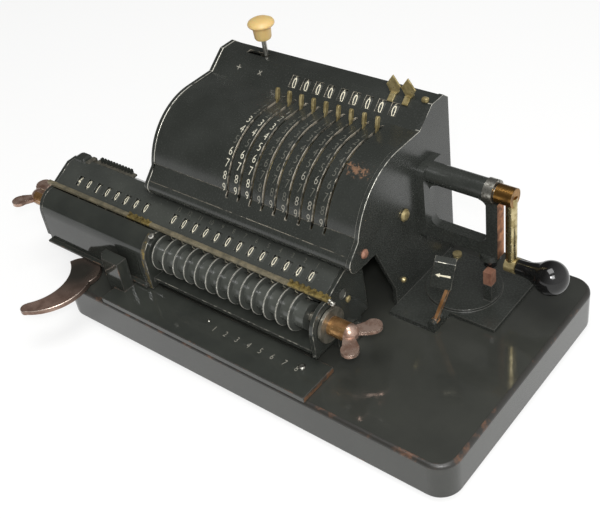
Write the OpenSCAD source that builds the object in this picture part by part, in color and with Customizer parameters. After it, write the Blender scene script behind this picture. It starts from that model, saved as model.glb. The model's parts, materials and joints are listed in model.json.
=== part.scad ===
// Hand-cranked four-function desk calculator with a sliding register carriage.
// Drawn in the machine's own axes: x = 0 at the first setting column, y = 0 at the front
// edge of the base, z = 0 on the table. seat() then moves it to the middle of its box.

/* [Columns] */
// Distance between neighbouring digit columns
col_pitch = 9.5; // [9.3:0.1:10]
// First result column, measured left from the first setting column
result_shift = 40.5; // [39:0.5:42]
// First counter column, measured left from the first setting column
counter_shift = 133; // [130:0.5:135]

/* [Base] */
// Width of the base
base_w = 312; // [306:1:330]
// Depth of the base
base_d = 175; // [172:1:190]
// Thickness of the base slab
base_h = 27.4; // [22:0.2:34]
// Radius of the corners of the base
base_corner = 14; // [6:1:20]
// How far the base reaches left of the first setting column
base_left = 117; // [112:1:122]
// Height of the rubber feet
foot_h = 3; // [2:0.5:5]
// Radius of the rubber feet
foot_r = 9; // [6:0.5:11]
// Distance of the feet from the edges of the base
foot_inset = 18; // [14:1:24]

/* [Rails] */
// Height of the scale rail above the base
rail_h = 4.1; // [3:0.1:4.4]
// Depth of the scale rail
rail_d = 29; // [21:0.5:30]
// Left end of the scale rail, from the first setting column
rail_left = 72; // [66:1:76]
// Width of the stop block at the rail's left end
stop_w = 20; // [16:1:22]
// Height of the stop block above the base
stop_h = 27; // [20:0.5:30]
// Depth of the stop block
stop_d = 9; // [7:0.5:11]
// Height of the dovetail guide rail
guide_h = 8.4; // [7:0.2:9]
// Width of the dovetail guide rail at its top
guide_w = 13; // [11:0.5:15]

/* [Housing] */
// Thickness of the side plates
plate_t = 3; // [2:0.25:4]
// Thickness of the cover sheets
cover_t = 1.5; // [1.2:0.1:1.8]
// Left side plate, outer face, from the first setting column
house_left = 67.5; // [64:0.5:70]
// Right side plate, outer face, from the last setting column
house_right = 23.75; // [23.25:0.25:25]
// Outer radius of the drum cover
drum_r = 46; // [45.5:0.1:47]
// Drum axis behind the front edge of the base
drum_y = 109.3; // [108:0.1:111]
// Drum axis above the base
drum_rise = 62.2; // [61.5:0.1:64]
// Height of the head above the top of the drum
head_h = 10.4; // [9.4:0.2:11]
// Depth of the head's flat top
head_d = 17; // [16:0.5:18]
// Depth of the bevelled face that holds the check windows
bevel_d = 14; // [13:0.5:15]
// Radius of the rolled front lip
lip_r = 6.5; // [5.5:0.1:7]
// Thickness of the plate foot on the base
pad_h = 2.8; // [2:0.2:4]

/* [Setting levers] */
// Width of a lever blade in its slot
blade_w = 0.9; // [0.8:0.1:1.2]
// Width of a lever's finger tab
tab_w = 2; // [1.6:0.1:2.4]
// Thickness of a lever blade in its direction of travel
blade_t = 2.8; // [2.2:0.1:3.6]
// Height of the levers above the drum cover
blade_rise = 9.5; // [7:0.5:11]
// Angle of the levers behind the vertical at rest
lever_back = 15.3; // [14:0.1:16]
// Swing of a lever from digit 0 to digit 9
lever_swing = 88.5; // [85:0.5:91]
// Thickness of a setting ring
ring_w = 2.2; // [1.6:0.1:3]
// Radius of the rotor discs that carry the rings
disc_r = 20; // [16:0.5:24]
// Radius of the check dials
dial_r = 11.5; // [10.5:0.1:11.8]
// Width of a check dial
dial_w = 6.4; // [5:0.1:7]
// Radius of the check dial spindle
spindle_r = 2; // [1.5:0.1:3]

/* [Crank] */
// Crank axis behind the drum axis
crank_dy = 23.7; // [23:0.1:24.5]
// Crank axis above the drum axis
crank_dz = 17.9; // [17:0.1:19]
// Radius of the crank circle
crank_r = 49.3; // [46:0.1:51]
// Radius of the crank shaft
shaft_r = 5; // [4:0.1:5.2]
// Radius of the bearing tube
tube_r = 6.7; // [6.2:0.1:8]
// Length of the bracket, from the side plate to the crank hub
bracket_l = 49; // [44:0.5:52]
// Radius of the crank hub
hub_r = 5.8; // [5.7:0.1:6.4]
// Length of the crank hub
hub_l = 11; // [10:0.5:13]
// Radius of the crank arm
arm_r = 3.4; // [3:0.1:3.7]
// Radius of the ball of the handle
ball_r = 10.6; // [9:0.1:12]
// Length of the handle, tip included
handle_l = 31.8; // [30:0.2:34]
// Teeth of the two drive gears
gear_teeth = 24; // [20:2:28]
// Face width of the drive gears
gear_w = 6; // [4:0.5:7]

/* [Carriage] */
// Left end of the carriage, from the first setting column
carriage_left = 155; // [152:1:158]
// Right end of the carriage, from the first setting column
carriage_right = 91; // [88:0.5:93]
// Thickness of the carriage end plates
end_t = 3; // [2:0.25:4]
// Gap between the scale rail and the underside of the carriage
ride_gap = 0.8; // [0.5:0.1:2]
// Axis of the thumbwheels behind the front edge of the base
thumb_y = 40; // [39.5:0.1:41]
// Axis of the thumbwheels above the base
thumb_rise = 25.6; // [25:0.1:26]
// Radius of the knurled thumbwheel rims
thumb_r = 12.1; // [10:0.1:12.5]
// Radius of the thumbwheel hubs
thumb_hub_r = 8.8; // [6:0.1:8.9]
// Width of a thumbwheel rim
rim_w = 1.4; // [1:0.1:1.6]
// Radius of the digit wheels
digit_r = 10; // [8:0.1:10]
// Width of a digit wheel
digit_w = 6; // [4.5:0.1:6.2]
// Digit wheel axis behind the thumbwheel axis
digit_dy = 15.5; // [15.4:0.1:16.5]
// Digit wheel axis above the thumbwheel axis
digit_dz = 11.3; // [11.2:0.1:11.5]
// Radius of the register shafts
register_shaft_r = 3; // [2:0.1:4]
// Span across the wings of a clearing nut
wing_span = 34; // [28:1:36]
// Length of a clearing nut
nut_l = 29; // [26:0.5:31]
// Extra length of the left clearing nut
nut_extra = 5; // [0:0.5:6]
// Thickness of the register cover's sheet
register_t = 1; // [0.8:0.1:1.4]
// Radius of the rolled front of the counter cover
bull_r = 14.5; // [13.5:0.1:15]
// Width of the pointer rail
pointer_w = 3; // [2.4:0.1:3.4]

/* [Levers] */
// Radius of the function knob's cap
knob_r = 8.8; // [7.5:0.1:9.5]
// Height of the function knob
knob_h = 14; // [12:0.5:16]
// Height of the function knob's foot above the head
knob_rise = 12; // [10:0.5:15]
// Distance between the two positions of the function lever
function_travel = 13.3; // [10:0.1:15]
// Width of a point marker
marker_w = 10; // [8:0.5:10]
// Height of a point marker above the head
marker_h = 12.5; // [10:0.5:14]
// Lean of the arrow lever at rest
arrow_lean = 18.5; // [16:0.5:21]
// Length of the arrow lever's rod below its grip
arrow_rod = 33; // [31:0.5:35]
// Width of the arrow lever's grip
grip_w = 12.4; // [11:0.2:14]
// Height of the arrow lever's grip
grip_h = 22.5; // [20:0.5:24]
// Depth of the arrow lever's grip
grip_d = 5; // [4:0.5:6]
// Lean of the arrow lever's grip back from its rod
grip_back = 6.5; // [4:0.5:9]
// Turn of the arrow lever's grip about its height
grip_turn = 24; // [20:1:28]
// Outer radius of the shift lever's curve
shift_r = 33.8; // [33:0.1:34.5]
// Inner radius of the shift lever's curve
shift_in_r = 29.3; // [28:0.1:30]
// How far the shift lever reaches in front of the base
shift_reach = 37.8; // [37:0.1:38.5]
// Thickness of the shift lever
shift_t = 3.6; // [2.5:0.1:3.8]

/* [Fits] */
// Radial clearance of a running shaft
run_gap = 0.05; // [0.02:0.01:0.08]
// Clearance between parts that pass each other
pass_gap = 0.4; // [0.3:0.05:0.5]

/* [Hidden] */
$fn = 64;
eps = 0.01;
setting_cols = 9;
result_cols = 13;
counter_cols = 8;

// Levels and main places
base_top = foot_h + base_h;
rail_top = base_top + rail_h;
last_col = (setting_cols - 1) * col_pitch;
x_left = -house_left;
x_right = last_col + house_right;
in_left = x_left + plate_t;
in_right = x_right - plate_t;
drum_z = base_top + drum_rise;
drum_top = drum_z + drum_r;
head_z = drum_top + head_h;
bevel_y0 = drum_y + 21.7;
bevel_y1 = bevel_y0 + bevel_d;
house_back = bevel_y1 + head_d;
bevel_tilt = atan2(head_h, bevel_d);
lip_y = drum_y - 48.3;
lip_z = drum_z - 2.1;
plate_proud = 0.6;
plate_front = drum_y - 14;

// Setting rings and check dials
ring_r = disc_r + 13;
dial_drop = cover_t + pass_gap + dial_r;
dial_mid = bevel_d * 0.62;
dial_y = bevel_y0 + dial_mid + dial_drop * sin(bevel_tilt);
dial_z = drum_top + dial_mid * tan(bevel_tilt) - dial_drop * cos(bevel_tilt) - plate_proud;
slot_gap = 0.3;
slot_w = blade_w + 2 * slot_gap;
dial_window = [5.4, 8];
window_x = 1.2;
window_mid = dial_mid - 1.9;
lever_a = 90 - lever_back;
slot_spare = 8;

// Drive
crank_y = drum_y + crank_dy;
crank_z = drum_z + crank_dz;
gear_pitch_r = norm([crank_dy, crank_dz]) / 2;
gear_line = atan2(crank_dz, crank_dy);
journal_r = 3.4;
gear_x = in_right - gear_w - 4;
bracket_x = x_right + bracket_l;
handle_z = crank_z - crank_r;
bar = 7.6;
low_bar_h = 9.4;
window_r = 5;
upright_x = bracket_x - bar + 2.2;
low_z = handle_z + 3;
latch_x = upright_x + 0.5;
latch_r = 4;
latch_boss_h = 3;
flange_t = 5;
hub_gap = 0.6;
hub_x = bracket_x + hub_gap;
hub_bore = hub_l * 0.4;
boss_r = 5;
arm_x = hub_x + hub_l - 2.4;
handle_x = arm_x + arm_r + 1.2;
handle_pin_r = 2.4;
handle_pin_end = 12;
pin_x = handle_x + handle_l - handle_pin_end;

// Foot of the right plate
boss_h = 1.8;
pad_front = plate_front - 9;
pad_back = house_back - 4;
pad_w = bracket_l * 0.67;
apron_x = x_right + bracket_l * 0.65;
apron_w = bracket_l * 0.64;
apron_front = crank_y - 29;
apron_d = 50;
disc_x = x_right + bracket_l * 0.56;
disc_y = crank_y - 4;
foot_disc_r = 24;
post_w = 5.6;
post_x = upright_x + 1.2;
post_y = crank_y - 10;
post_top = low_z - 7.2;
block_h = 9.5;

// Carriage
thumb_z = base_top + thumb_rise;
digit_y = thumb_y + digit_dy;
digit_z = thumb_z + digit_dz;
c_left = -carriage_left;
c_in_left = c_left + end_t;
c_in_right = carriage_right - end_t;
divider_t = 4;
divider_x = -result_shift - col_pitch;
divide_mid = divider_x + divider_t / 2;
ride_z = rail_top + ride_gap;
floor_z = base_top + guide_h + ride_gap;
floor_t = 3;
window_tilt = 27.3;
face_y0 = thumb_y + 3;
face_d = 16;
digit_reach = digit_r + pass_gap + register_t;
digit_window = [4.8, 7.2];
digit_shift = 0.45;
face_z0 = digit_z + digit_reach / cos(window_tilt) - (digit_y - face_y0) * tan(window_tilt);
face_y1 = face_y0 + face_d;
face_z1 = face_z0 + face_d * tan(window_tilt);
crest_y = face_y1 + 8;
carriage_back = thumb_y + 36;
front_y = thumb_y - 15;
stop_y = front_y - 4;
stop_x = -rail_left - 10;
counter_t = 1.8;
counter_foot = 3.2;
bull_y = front_y + bull_r;
bull_top = face_z0 - 1.2;
bull_z = bull_top - bull_r;
divider_proud = 1.5;
guide_y = thumb_y + 18;
guide_flare = 2.5;
runner_w = 24;

// Levers and markers
arrow_x = x_right + bracket_l * 0.62;
arrow_y = plate_front - 3.8;
arrow_z = base_top + pad_h + 3;
arrow_pin_r = 1;
function_x = -31;
function_y = bevel_y1 + 5;
rod_r = 1.6;
marker_x = 7.65 * col_pitch;
marker_step = 1.1 * col_pitch;
shift_pivot = [-base_left + 10, 11];
shift_pin_r = 3;
shift_mid = shift_pivot - [16.2, 17.5];
shift_in_mid = shift_pivot - [28.6, 21.7];
shift_tip_r = 4.3;
shift_tip = [shift_pivot[0] - 3.5, shift_tip_r - shift_reach];
shift_tip_turn = 47;
shift_heel_r = 15.2;

// Middle of the machine's box
mid_x = (c_left - nut_l - nut_extra + handle_x + handle_l) / 2;
mid_y = (base_d - shift_reach) / 2;

enamel = [0.16, 0.16, 0.15];
brass = [0.66, 0.52, 0.25];
copper = [0.55, 0.43, 0.37];
steel = [0.6, 0.6, 0.58];
ivory = [0.9, 0.8, 0.58];

// Moves the machine's axes to the middle of its box
module seat() {
    translate([-mid_x, -mid_y, 0])
        children();
}

// Extrudes a (y, z) outline along x
module along_x(x0, len) {
    translate([x0, 0, 0])
        rotate([90, 0, 90])
            linear_extrude(len)
                children();
}

// Round bar along x through (y, z)
module bar_x(x0, len, y, z, r) {
    translate([x0, y, z])
        rotate([0, 90, 0])
            cylinder(h = len, r = r);
}

// Turned shape along x: the outline holds (radius, length) points
module turned_x(x0, y, z) {
    translate([x0, y, z])
        rotate([0, 90, 0])
            rotate_extrude()
                children();
}

// Rectangle with round corners
module round_rect(w, d, r) {
    translate([r, 0])
        square([w - 2 * r, d]);
    translate([0, r])
        square([w, d - 2 * r]);
    for (x = [r, w - r], y = [r, d - r])
        translate([x, y])
            circle(r);
}

// Spur gear outline with straight flanks
function gear_points(teeth, pitch_r, turn) =
    let (step = 360 / teeth, m = 2 * pitch_r / teeth)
    [for (i = [0:teeth - 1], p = [[-0.33, -1.15], [-0.1, 0.85], [0.1, 0.85], [0.33, -1.15]])
        let (a = turn + (i + p[0] * (p[1] > 0 ? 1.0 : 0.95)) * step, r = pitch_r + p[1] * m)
        [r * cos(a), r * sin(a)]];

// Outline of the housing in (y, z)
module house_outline() {
    under = lip_z - lip_r;
    flare_z = drum_z + 11.6;
    translate([drum_y, drum_z])
        circle(drum_r, $fn = 128);
    translate([lip_y, lip_z])
        circle(lip_r);
    polygon([
        [lip_y - lip_r * 0.72, lip_z + lip_r * 0.69],
        [drum_y - drum_r + 2.5, flare_z],
        [drum_y, flare_z],
        [drum_y, under],
        [lip_y, under]
    ]);
    polygon([
        [drum_y, base_top],
        [drum_y, drum_top],
        [bevel_y0, drum_top],
        [bevel_y1, head_z],
        [house_back - 5, head_z],
        [house_back, head_z - 4],
        [house_back, base_top]
    ]);
    translate([carriage_back, base_top])
        square([drum_y - carriage_back + 1, drum_z - base_top]);
}

// Room in (y, z) for the carriage to pass under a side plate
module carriage_path() {
    polygon([
        [0, base_top - 1],
        [plate_front, base_top - 1],
        [plate_front, base_top + 14],
        [carriage_back + 3, lip_z - lip_r],
        [0, lip_z - lip_r]
    ]);
}

module side_plate(x0) {
    difference() {
        along_x(x0, plate_t)
            house_outline();
        along_x(x0 - 1, plate_t + 2)
            carriage_path();
        bar_x(x0 - 1, plate_t + 2, drum_y, drum_z, journal_r + run_gap);
    }
}

module base() {
    seat()
        color(enamel)
            translate([-base_left, 0, foot_h])
                difference() {
                    linear_extrude(base_h)
                        round_rect(base_w, base_d, base_corner);
                    translate([shift_pivot[0] + base_left, shift_pivot[1], base_h - 10])
                        cylinder(h = 10 + eps, r = shift_pin_r);
                }
}

module base_feet() {
    seat()
        color([0.1, 0.1, 0.1])
            for (x = [foot_inset, base_w - foot_inset], y = [foot_inset, base_d - foot_inset])
                translate([x - base_left, y, 0])
                    cylinder(h = foot_h, r = foot_r);
}

// Flat rail with the stop block of the carriage at its left end
module scale_rail() {
    corner = 5;
    seat()
        color(enamel) {
            translate([-rail_left, 0, base_top])
                cube([rail_left + x_right, rail_d, rail_h]);
            translate([stop_x, stop_y - stop_d, base_top])
                linear_extrude(stop_h)
                    polygon([
                        [0, corner], [corner, 0], [stop_w, 0], [stop_w, stop_d], [0, stop_d]
                    ]);
        }
}

// Dovetail outline in (y, z), wider at the top
module dovetail(gap) {
    half = guide_w / 2 + gap;
    polygon([
        [guide_y - half + guide_flare, base_top - gap],
        [guide_y + half - guide_flare, base_top - gap],
        [guide_y + half, base_top + guide_h + gap],
        [guide_y - half, base_top + guide_h + gap]
    ]);
}

module guide_rail() {
    seat()
        color(steel)
            along_x(-base_left + 6, base_left - 6 + in_right)
                dovetail(0);
}

module left_side_plate() {
    seat() {
        color(enamel)
            side_plate(x_left);
        color(steel)
            bar_x(in_left - eps, in_right - in_left + 2 * eps - 0.2, dial_y, dial_z, spindle_r);
    }
}

// Right plate with its stepped foot, a stop post and the ears of the arrow lever
module right_side_plate() {
    ear_r = 2.4;
    ear_gap = 2.6;
    ear_t = 2.5;
    seat()
        color(enamel) {
            difference() {
                side_plate(in_right);
                bar_x(in_right - 1, plate_t + 2, crank_y, crank_z, shaft_r + run_gap);
            }
            translate([x_right - eps, pad_front, base_top])
                cube([pad_w, pad_back - pad_front, pad_h]);
            translate([apron_x, apron_front, base_top])
                cube([apron_w, apron_d, pad_h]);
            translate([disc_x, disc_y, base_top + pad_h - eps])
                cylinder(h = boss_h + eps, r = foot_disc_r);
            translate([post_x, post_y, base_top + pad_h + eps])
                cube([post_w, post_w, post_top - block_h - base_top - pad_h - eps]);
            for (y = [arrow_y - ear_gap - ear_t, arrow_y + ear_gap])
                translate([arrow_x, y, 0])
                    rotate([-90, 0, 0])
                        linear_extrude(ear_t)
                            union() {
                                translate([0, -arrow_z])
                                    circle(ear_r);
                                translate([-ear_r, -arrow_z])
                                    square([2 * ear_r, arrow_z - base_top - pad_h + eps]);
                            }
            translate([arrow_x, arrow_y - ear_gap - ear_t, arrow_z])
                rotate([-90, 0, 0])
                    cylinder(h = 2 * (ear_gap + ear_t), r = arrow_pin_r);
        }
}

// Cover sheets between the side plates: rolled lip, flare, drum, bevel and flat top
module cover_sheets() {
    t = cover_t;
    w = in_right - in_left;
    r = drum_r - plate_proud;
    bead = lip_r - plate_proud;
    flare = [0.72, -0.69];
    flare_z = 11.6;
    flare_a = asin(flare_z / r);
    bite = 0.3;
    lip_at = [lip_y, lip_z] - (bead - bite) * flare;
    drum_at = [drum_y - (r - bite) * cos(flare_a), drum_z + flare_z];
    top = drum_top - plate_proud - bite;
    head = head_z - plate_proud;
    back = house_back - plate_proud;
    translate([in_left, lip_y, lip_z])
        rotate([90, 0, 90])
            rotate([0, 0, 125])
                rotate_extrude(angle = 190)
                    translate([bead - t, 0])
                        square([t, w]);
    along_x(in_left, w)
        polygon([lip_at, drum_at, drum_at + [0.6 * t, -0.4 * t], lip_at + 0.8 * t * flare]);
    translate([in_left, drum_y, drum_z])
        rotate([90, 0, 90])
            rotate([0, 0, 78])
                rotate_extrude(angle = 102 - flare_a, $fn = 128)
                    translate([r - t, 0])
                        square([t, w]);
    along_x(in_left, w)
        polygon([
            [drum_y, top - t], [drum_y, top], [bevel_y0, top], [bevel_y1, head],
            [back - 4.4, head], [back, head - 4], [back, head - 7], [back - t, head - 7],
            [back - t, head - 4 - t / 2], [back - 4.4 - t / 2, head - t],
            [bevel_y1 + t / 3, head - t], [bevel_y0 + t / 3, top - t]
        ]);
}

// Sheet cover between the side plates, with the lever slots and the dial windows
module top_cover() {
    seat()
        color(enamel)
            difference() {
                cover_sheets();
                for (i = [0:setting_cols - 1])
                    slot_cut(i * col_pitch);
                for (i = [0:setting_cols - 1])
                    translate([i * col_pitch + window_x, bevel_y0 + window_mid, drum_top])
                        translate([0, 0, window_mid * tan(bevel_tilt)])
                            rotate([bevel_tilt, 0, 0])
                                cube([dial_window[0], dial_window[1], 12], center = true);
                translate([function_x - function_travel - 2, function_y - 2, head_z - 8])
                    cube([function_travel + 4, 4, 10]);
            }
}

// Curved slot in which a setting lever travels
module slot_cut(x) {
    spare = asin((blade_t / 2 + slot_spare / 2) / drum_r);
    translate([x - slot_w / 2, drum_y, drum_z])
        rotate([90, 0, 90])
            rotate([0, 0, lever_a - spare])
                rotate_extrude(angle = lever_swing + 2 * spare, $fn = 128)
                    translate([drum_r - 6, 0])
                        square([12, slot_w]);
}

module rear_cover() {
    seat()
        color(enamel)
            translate([in_left, house_back - cover_t - plate_proud, base_top])
                cube([in_right - in_left, cover_t, head_z - 8 - base_top]);
}

// Rounded inner corner of the bracket's window; the signs point into the window
module window_corner(x, z, sx, sz) {
    bite = 1;
    width = bar - 1.6;
    side = window_r + bite;
    translate([x, crank_y, z])
        difference() {
            translate([sx > 0 ? -bite : -window_r, -width / 2, sz > 0 ? -bite : -window_r])
                cube([side, width, side]);
            translate([sx * window_r, 0, sz * window_r])
                rotate([90, 0, 0])
                    cylinder(h = 2 * bar, r = window_r, center = true);
        }
}

// Casting that carries the crank shaft: flange, tube, upright and lower bar
module crank_bracket() {
    flange_y = crank_y - 9;
    flange_d = 23;
    flange_h = crank_z + tube_r - 0.4 - low_z;
    collar = 6;
    sill_z = low_z + low_bar_h;
    head_jamb = crank_z - tube_r;
    seat()
        color(enamel)
            difference() {
                union() {
                    along_x(x_right, flange_t)
                        translate([flange_y, low_z])
                            round_rect(flange_d, flange_h, 5);
                    bar_x(x_right, bracket_l, crank_y, crank_z, tube_r);
                    bar_x(bracket_x - collar, collar, crank_y, crank_z, tube_r + 0.8);
                    translate([upright_x, crank_y - bar / 2, low_z])
                        cube([bar, bar, crank_z - hub_r - pass_gap - low_z]);
                    translate([x_right, crank_y - bar / 2, low_z])
                        cube([upright_x + bar - x_right, bar, low_bar_h]);
                    for (x = [x_right + flange_t, upright_x], z = [sill_z, head_jamb])
                        window_corner(x, z, x < upright_x ? 1 : -1, z == sill_z ? 1 : -1);
                    translate([latch_x, crank_y, low_z - latch_boss_h])
                        cylinder(h = latch_boss_h + 1, r = bar * 0.84);
                }
                bar_x(x_right - 1, bracket_l + 2, crank_y, crank_z, shaft_r + run_gap);
                translate([latch_x, crank_y, low_z - latch_boss_h - 1])
                    cylinder(h = bar, r = latch_r / 2 + run_gap);
            }
}

// Screws of the housing and the bare stop block under the crank
module frame_screws() {
    head_r = 3;
    plate_screws = [[lip_y + 7.5, lip_z + 1.5, head_r], [plate_front + 8, base_top + 16, 1.9]];
    seat()
        color(brass) {
            for (p = plate_screws)
                turned_x(x_right, p[0], p[1])
                    polygon([[0, 0], [p[2], 0], [p[2], 0.6], [p[2] * 0.7, 1.6], [0, 2]]);
            translate([x_right + bracket_l * 0.16, pad_back - 5, base_top + pad_h])
                cylinder(h = 1.8, r = head_r);
            translate([post_x, post_y, post_top - block_h])
                cube([post_w, post_w, block_h]);
        }
}

// Sprung plunger under the lower corner of the bracket
module crank_latch() {
    foot = low_z - latch_boss_h - 6.4;
    seat()
        color(enamel)
            translate([latch_x, crank_y, 0]) {
                translate([0, 0, foot + 1])
                    cylinder(h = 10, r = latch_r / 2);
                translate([0, 0, foot])
                    cylinder(h = 5, r = latch_r);
            }
}

// Rotor: shaft, one disc for each column and the drive gear
module rotor() {
    seat()
        color(steel) {
            bar_x(x_left - 1, x_right - x_left + 2, drum_y, drum_z, journal_r);
            bar_x(in_left + pass_gap, in_right - in_left - 2 * pass_gap, drum_y, drum_z, shaft_r + 1.5);
            for (i = [0:setting_cols - 1])
                bar_x(i * col_pitch - 2, 4, drum_y, drum_z, disc_r);
            translate([gear_x, drum_y, drum_z])
                rotate([90, 0, 90])
                    linear_extrude(gear_w)
                        polygon(gear_points(gear_teeth, gear_pitch_r, gear_line));
            turned_x(x_right + pass_gap, drum_y, drum_z)
                polygon([[0, 0], [4, 0], [4, 0.6], [2.8, 1.8], [0, 2.4]]);
        }
}

module crank_shaft() {
    tooth = 180 / gear_teeth;
    seat()
        color(steel) {
            bar_x(gear_x - 4, hub_x + hub_bore - gear_x + 4, crank_y, crank_z, shaft_r);
            translate([gear_x, crank_y, crank_z])
                rotate([90, 0, 90])
                    linear_extrude(gear_w)
                        polygon(gear_points(gear_teeth, gear_pitch_r, 180 + gear_line + tooth));
        }
}

// Brass hub, arm and boss, with the pin on which the handle turns
module crank_arm() {
    seat()
        color(brass)
            difference() {
                union() {
                    bar_x(hub_x, hub_l, crank_y, crank_z, hub_r);
                    translate([arm_x, crank_y, handle_z])
                        cylinder(h = crank_r, r = arm_r);
                    bar_x(arm_x - arm_r + 0.7, handle_x - arm_x + arm_r - 1.2, crank_y, handle_z, boss_r);
                    bar_x(arm_x, pin_x - arm_x, crank_y, handle_z, handle_pin_r);
                }
                bar_x(hub_x - 1, hub_bore + 1.1, crank_y, crank_z, shaft_r + run_gap / 2);
            }
}

// Turned black handle: a slim neck that swells into a ball
module crank_handle() {
    neck_r = 4.6;
    ball_x = handle_l - ball_r;
    meet_x = ball_x - ball_r * cos(50);
    meet_r = ball_r * sin(50);
    steps = 10;
    seat()
        color([0.08, 0.08, 0.08])
            difference() {
                union() {
                    turned_x(handle_x, crank_y, handle_z)
                        polygon(concat(
                            [[0, 0]],
                            [for (i = [0:steps]) let (s = i / steps)
                                [neck_r + (meet_r - neck_r) * pow(s, 2.6), meet_x * s]],
                            [[0, ball_x]]
                        ));
                    translate([handle_x + ball_x, crank_y, handle_z])
                        sphere(ball_r);
                }
                bar_x(handle_x - 1, pin_x - handle_x + 2, crank_y, handle_z, handle_pin_r + run_gap);
            }
}

// Rod of the function lever with the slide under the head
module function_lever() {
    slide_top = head_z - plate_proud - cover_t - pass_gap;
    slide = [12, 7, 2];
    seat()
        color(steel) {
            translate([function_x, function_y, slide_top - slide[2]])
                cylinder(h = head_z + knob_rise + 4 - slide_top + slide[2], r = rod_r);
            translate([function_x - slide[0] / 2, function_y - slide[1] / 2, slide_top - slide[2]])
                cube(slide);
        }
}

// Mushroom knob: a wide cap on a tapered waist
module function_knob() {
    waist_r = knob_r * 0.58;
    cap_z = knob_h * 0.62;
    seat()
        color(ivory)
            translate([function_x, function_y, head_z + knob_rise])
                difference() {
                    rotate_extrude()
                        polygon([
                            [0, 0], [waist_r, 0], [waist_r + 0.5, 1], [waist_r + 1, cap_z - 1],
                            [waist_r + 1.6, cap_z], [knob_r - 0.6, cap_z + 0.5],
                            [knob_r, cap_z + 1.3], [knob_r, cap_z + 2.2],
                            [knob_r - 0.6, cap_z + 3.2], [knob_r * 0.72, cap_z + 4.3],
                            [knob_r * 0.36, knob_h - 0.2], [0, knob_h]
                        ]);
                    translate([0, 0, -1])
                        cylinder(h = 5.1, r = rod_r + run_gap / 2);
                }
}

// Brass pointer that straddles the front edge of the head
module marker(x) {
    t = 1.1;
    lift = 0.3;
    translate([x, bevel_y1 + 1.6, head_z - plate_proud + lift])
        rotate([90, 0, 0])
            linear_extrude(t)
                polygon([
                    [-marker_w * 0.2, 0], [marker_w * 0.2, 0], [marker_w / 2, marker_h * 0.45],
                    [0, marker_h], [-marker_w / 2, marker_h * 0.45]
                ]);
    translate([x - marker_w * 0.2, bevel_y1 - 1, head_z - plate_proud + lift])
        cube([marker_w * 0.4, 5, t]);
    translate([x, bevel_y1, head_z - plate_proud + lift])
        rotate([bevel_tilt, 0, 0])
            translate([-marker_w * 0.2, -5, 0])
                cube([marker_w * 0.4, 5, t]);
}

module marker_left() {
    seat()
        color(brass)
            marker(marker_x);
}

module marker_right() {
    seat()
        color(brass)
            marker(marker_x + marker_step);
}

// Flat rod with a block grip, leaning over its pivot
module arrow_lever() {
    eye_r = 2.2;
    rod_w = 2.8;
    rod_t = 2.4;
    bite = 0.6;
    seat()
        translate([arrow_x, arrow_y, arrow_z])
            rotate([0, arrow_lean, 0]) {
                color(copper)
                    difference() {
                        union() {
                            translate([-rod_w / 2, -rod_t / 2, 0])
                                cube([rod_w, rod_t, arrow_rod]);
                            translate([0, -2.2, 0])
                                rotate([-90, 0, 0])
                                    cylinder(h = 4.4, r = eye_r);
                        }
                        translate([0, -5, 0])
                            rotate([-90, 0, 0])
                                cylinder(h = 10, r = arrow_pin_r + run_gap);
                    }
                color(enamel)
                    translate([0, 0, arrow_rod - bite])
                        rotate([0, -grip_back, grip_turn])
                            translate([-grip_w * 0.85, -grip_d / 2, 0])
                                cube([grip_w, grip_d, grip_h]);
            }
}

// Tapered curved bar that steps the carriage, on a pin in the base
module shift_lever() {
    lift = 0.4;
    room = 80;
    seat()
        color(copper)
            translate([0, 0, base_top + lift]) {
                difference() {
                    union() {
                        intersection() {
                            translate([shift_mid[0], shift_mid[1], 0])
                                cylinder(h = shift_t, r = shift_r, $fn = 128);
                            translate([shift_pivot[0] - room / 2, shift_pivot[1] - room, -1])
                                cube([room, room, shift_t + 2]);
                            translate([shift_tip[0], shift_tip[1], -1])
                                rotate([0, 0, shift_tip_turn])
                                    translate([0, -room / 2, 0])
                                        cube([room, room, shift_t + 2]);
                        }
                        translate([shift_pivot[0], shift_pivot[1], 0])
                            cylinder(h = shift_t, r = shift_heel_r, $fn = 128);
                    }
                    translate([shift_in_mid[0], shift_in_mid[1], -1])
                        cylinder(h = shift_t + 2, r = shift_in_r, $fn = 128);
                }
                translate([shift_tip[0], shift_tip[1], 0])
                    cylinder(h = shift_t, r = shift_tip_r);
                translate([shift_pivot[0], shift_pivot[1], -8])
                    cylinder(h = 8 + eps, r = shift_pin_r - run_gap);
            }
}

// Points of the rolled front in (y, z), from the front edge up to an end angle
function roll_points(r, end) =
    [for (a = [180:-15:end]) [bull_y + r * cos(a), bull_z + r * sin(a)]];

// Outline of the carriage ends in (y, z)
module end_outline() {
    polygon(concat(
        [[front_y, floor_z]],
        roll_points(bull_r, 90),
        [
            [face_y0, bull_top], [face_y0, face_z0], [face_y1, face_z1], [crest_y, face_z1],
            [carriage_back, face_z0], [carriage_back + 1, floor_z]
        ]
    ));
}

// Outline of the divider in (y, z): proud of the rolled front, clear of the register cover
module divider_outline() {
    under = register_t + 1;
    polygon(concat(
        [[front_y - divider_proud, ride_z]],
        roll_points(bull_r + divider_proud, 105),
        [
            [bull_y, bull_top - eps], [face_y0, bull_top - eps], [face_y0 + 1, face_z0 - under],
            [face_y1, face_z1 - under], [crest_y, face_z1 - under],
            [carriage_back - under, face_z0 - under], [carriage_back - under, floor_z],
            [front_y + 4, floor_z], [front_y + 4, ride_z]
        ]
    ));
}

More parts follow.
